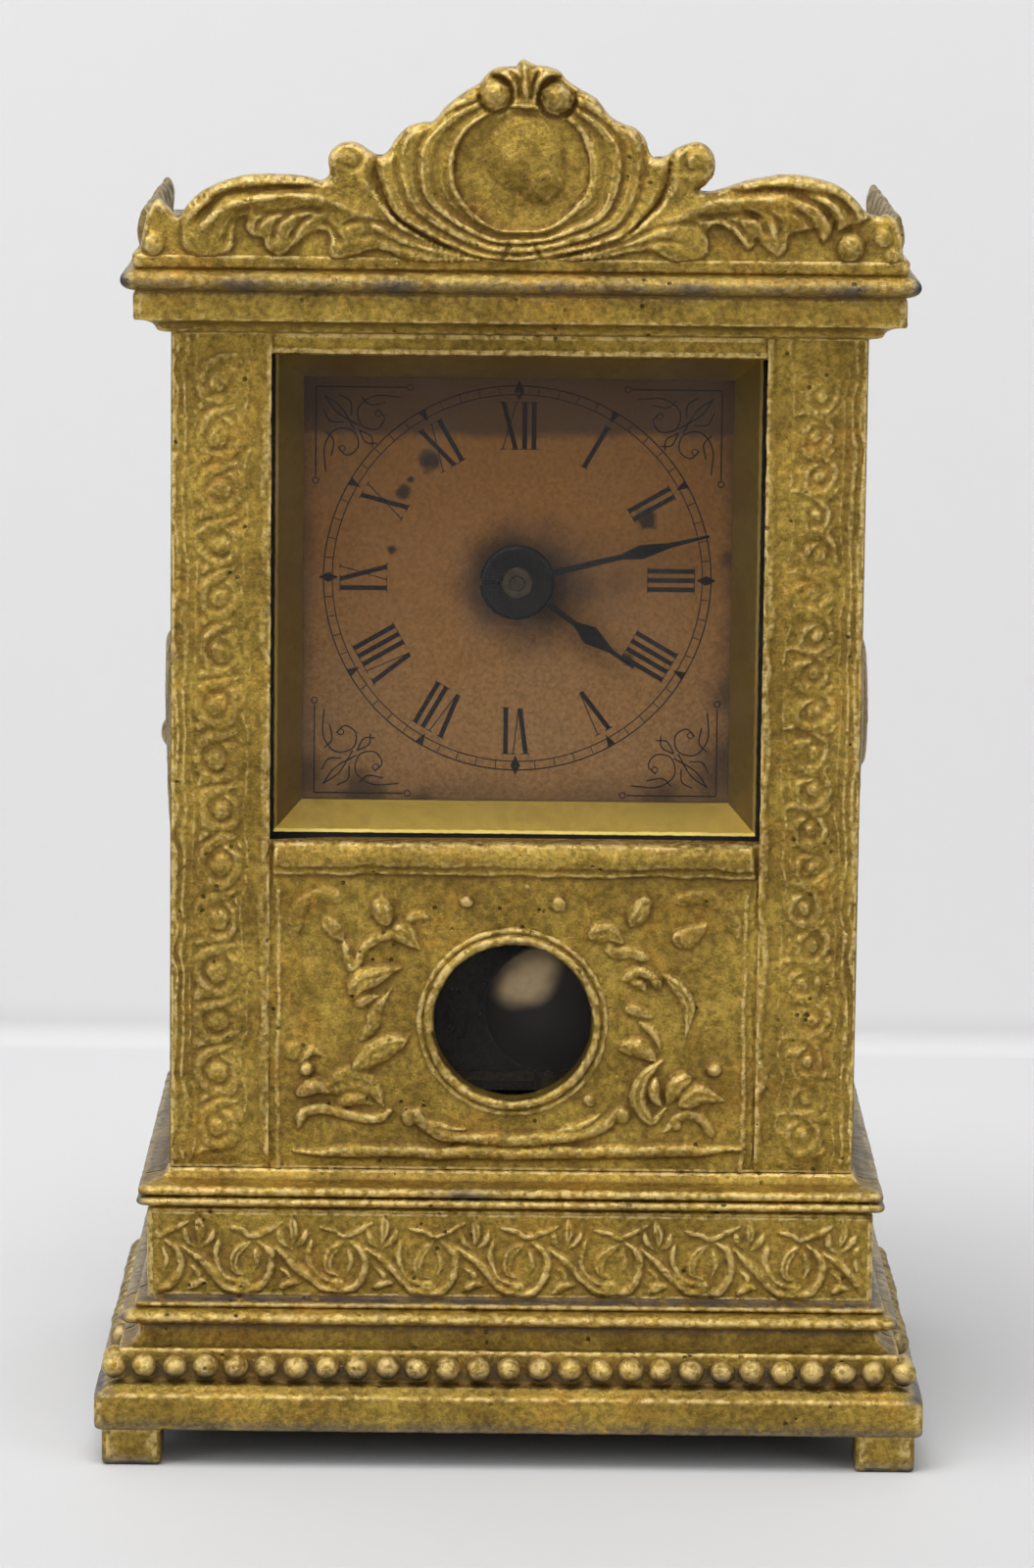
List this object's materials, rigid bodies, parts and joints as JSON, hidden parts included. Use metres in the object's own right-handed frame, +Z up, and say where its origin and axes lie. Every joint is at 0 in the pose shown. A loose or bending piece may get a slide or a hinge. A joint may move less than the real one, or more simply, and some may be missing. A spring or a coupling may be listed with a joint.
{
  "type": "pendulum clock",
  "caption": "Small upright pendulum clock: moulded cast-iron case with crest, square dial, round window over the bob, spring movement, key at the back.",
  "frame": {"origin": "middle of the footprint, on the surface the feet stand on", "axes": "+Z up, the dial faces -Y, +X to the right as the dial is read"},
  "size_m": [0.075, 0.0576, 0.1268],
  "materials": {
    "case_gold": "cast iron under worn gold bronze paint",
    "brass": "smooth rolled brass, tarnished olive",
    "dark_brass": "dark turned brass",
    "tin": "dull tinned sheet iron",
    "steel": "bright steel",
    "blued_steel": "dark blued steel",
    "nickel": "polished nickel plate",
    "paper": "browned printed dial paper",
    "glass": "thin clear sheet glass"
  },
  "bodies": {
    "case": {"front_casting": "case_gold", "left_side_casting": "case_gold", "right_side_casting": "case_gold", "back_casting": "case_gold", "top_plate": "tin", "back_cover": "tin", "tie_bolt_1": "steel", "tie_bolt_2": "steel", "tie_bolt_3": "steel", "tie_bolt_4": "steel", "cover_screw_1": "steel", "cover_screw_2": "steel", "top_screw_1": "steel", "top_screw_2": "steel", "glass": "glass", "bezel": "brass", "dial_paper": "paper", "dial_plate": "tin", "dial_screw_1": "steel", "dial_screw_2": "steel", "dial_screw_3": "steel", "dial_screw_4": "steel", "movement_front_plate": "brass", "movement_back_plate": "brass", "pillar_1": "brass", "pillar_2": "brass", "pillar_3": "brass", "pillar_4": "brass", "verge_stud": "steel", "minute_wheel_stud": "steel", "click_screw": "steel", "click_spring": "steel"},
    "minute_body": {"centre_arbor": "dark_brass", "cannon_pinion": "dark_brass", "minute_hand": "blued_steel", "hand_washer": "blued_steel", "setting_knob": "brass"},
    "minute_wheel_body": {"minute_wheel": "brass"},
    "hour_body": {"hour_wheel": "brass", "hour_hand": "blued_steel"},
    "escape_body": {"escape_arbor": "steel", "escape_wheel": "brass"},
    "fourth_body": {"fourth_wheel": "brass", "fourth_arbor": "steel"},
    "third_body": {"third_wheel": "brass", "third_arbor": "steel"},
    "centre_body": {"centre_wheel": "brass", "centre_pinion": "steel"},
    "barrel_body": {"barrel": "brass", "barrel_cover": "brass", "mainspring": "steel"},
    "winding_body": {"winding_arbor": "steel", "ratchet_wheel": "steel", "winding_key": "brass"},
    "click_body": {"click": "steel"},
    "pendulum_body": {"pendulum_rod": "steel", "pendulum_bob": "nickel", "rating_nut": "brass"},
    "verge_body": {"verge": "steel"}
  },
  "joints": [
    {"name": "minute_turn", "type": "hinge", "parent": "case", "child": "minute_body", "pos_m": [0, 0, 0.0795], "axis": [0, 1, 0], "continuous": true},
    {"name": "minute_wheel_turn", "type": "hinge", "parent": "case", "child": "minute_wheel_body", "pos_m": [-0.0053, 0, 0.0848], "axis": [0, 1, 0], "continuous": true},
    {"name": "hour_turn", "type": "hinge", "parent": "case", "child": "hour_body", "pos_m": [0, 0, 0.0795], "axis": [0, 1, 0], "continuous": true},
    {"name": "escape_turn", "type": "hinge", "parent": "case", "child": "escape_body", "pos_m": [0.0034, 0, 0.089], "axis": [0, 1, 0], "continuous": true},
    {"name": "fourth_turn", "type": "hinge", "parent": "case", "child": "fourth_body", "pos_m": [0.00775, 0, 0.08784], "axis": [0, 1, 0], "continuous": true},
    {"name": "third_turn", "type": "hinge", "parent": "case", "child": "third_body", "pos_m": [0.00917, 0, 0.07986], "axis": [0, 1, 0], "continuous": true},
    {"name": "centre_turn", "type": "hinge", "parent": "case", "child": "centre_body", "pos_m": [0, 0, 0.0795], "axis": [0, 1, 0], "continuous": true},
    {"name": "barrel_turn", "type": "hinge", "parent": "case", "child": "barrel_body", "pos_m": [-0.009, 0, 0.06878], "axis": [0, 1, 0], "continuous": true},
    {"name": "winding_turn", "type": "hinge", "parent": "case", "child": "winding_body", "pos_m": [-0.009, 0, 0.06878], "axis": [0, -1, 0], "range_deg": [0, 1800]},
    {"name": "click_lift", "type": "hinge", "parent": "case", "child": "click_body", "pos_m": [-0.0116, 0, 0.07592], "axis": [0, 1, 0], "range_deg": [0, 6], "stiffness_Nm_per_rad": 0.001},
    {"name": "pendulum_swing", "type": "hinge", "parent": "case", "child": "pendulum_body", "pos_m": [0.0034, 0, 0.097], "axis": [0, 1, 0], "range_deg": [-4, 4]},
    {"name": "verge_rock", "type": "hinge", "parent": "case", "child": "verge_body", "pos_m": [0.0034, 0, 0.097], "axis": [0, 1, 0], "range_deg": [-4, 4]}
  ],
  "couplings": [
    {"joint": "minute_wheel_turn", "follows": "minute_turn", "ratio": -0.33333},
    {"joint": "hour_turn", "follows": "minute_turn", "ratio": 0.083333},
    {"joint": "fourth_turn", "follows": "escape_turn", "ratio": -0.25},
    {"joint": "third_turn", "follows": "escape_turn", "ratio": 0.03125},
    {"joint": "centre_turn", "follows": "escape_turn", "ratio": -0.0039062},
    {"joint": "barrel_turn", "follows": "escape_turn", "ratio": 0.00065104},
    {"joint": "verge_rock", "follows": "pendulum_swing", "ratio": 1}
  ]
}
